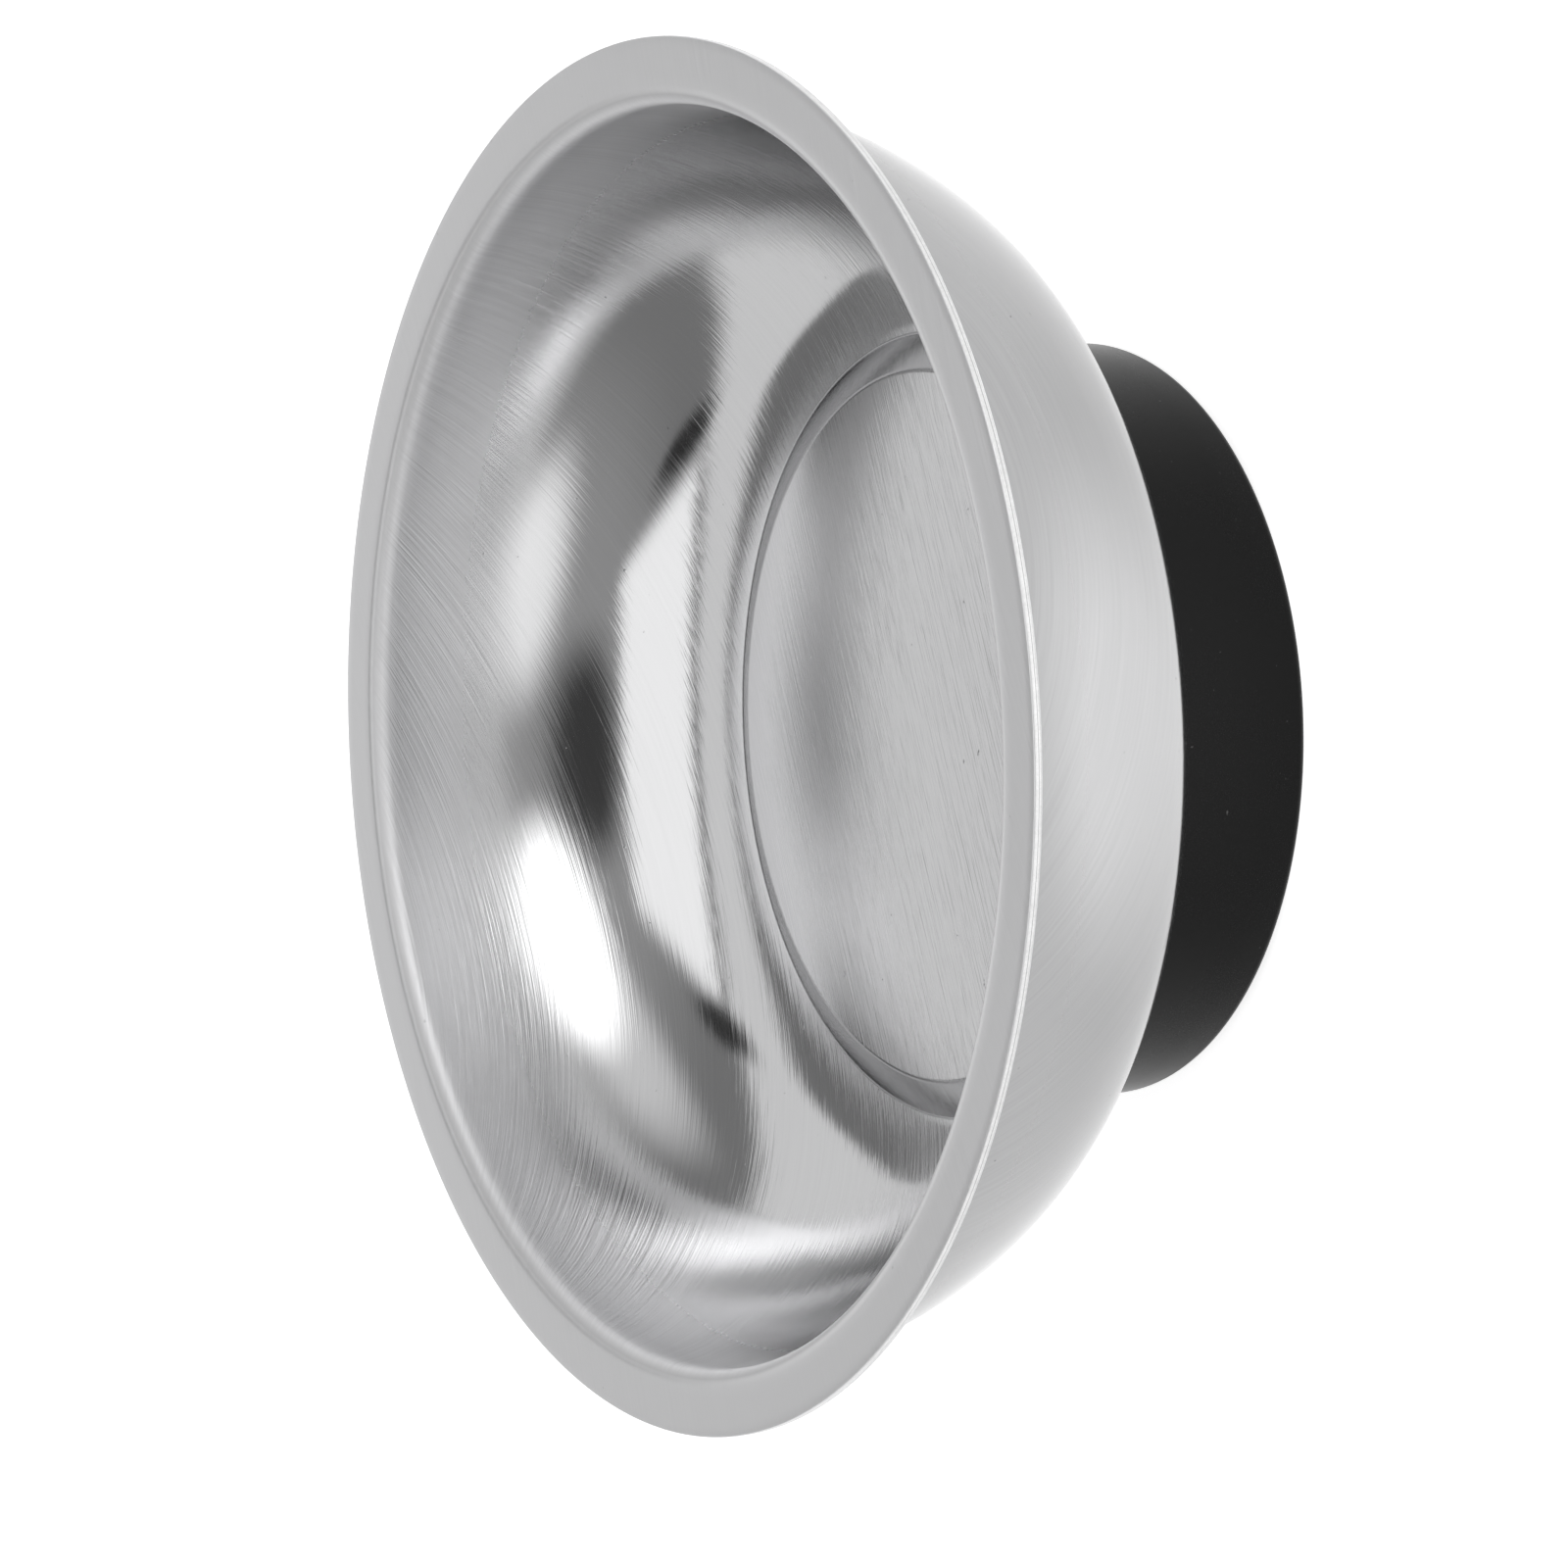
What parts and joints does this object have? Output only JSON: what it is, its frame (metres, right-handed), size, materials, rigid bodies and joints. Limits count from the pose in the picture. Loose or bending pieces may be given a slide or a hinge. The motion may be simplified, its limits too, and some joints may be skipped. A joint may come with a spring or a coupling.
{
  "type": "magnetic parts tray",
  "caption": "Round brushed steel parts tray with a flat rim and a raised floor plateau, held to steel surfaces by a ring magnet in a black moulded base.",
  "frame": {"origin": "centre of the foot pad's underside, where the tray stands", "axes": "+Z along the bowl's axis from the foot pad to the open rim; X and Y in the plane of the bench, either way round because the tray is round"},
  "size_m": [0.108, 0.108, 0.0402],
  "materials": {
    "brushed_sheet": "brushed in one direction before pressing, satin",
    "stud_steel": "bright turned and rolled steel",
    "foam": "closed-cell foam",
    "ferrite": "ground sintered ferrite",
    "black_moulding": "semi-gloss black moulding",
    "zinc": "bright zinc plate",
    "spring_steel": "blackened spring steel",
    "tape": "translucent adhesive film",
    "rubber_pad": "matte black rubber"
  },
  "bodies": {
    "root": {"bowl": "brushed_sheet", "weld_stud": "stud_steel", "magnet_cushion": "foam", "ring_magnet": "ferrite", "magnet_housing": "black_moulding", "flat_washer": "zinc", "spring_washer": "spring_steel", "hex_nut": "zinc", "pad_adhesive": "tape", "foot_pad": "rubber_pad"}
  },
  "joints": []
}
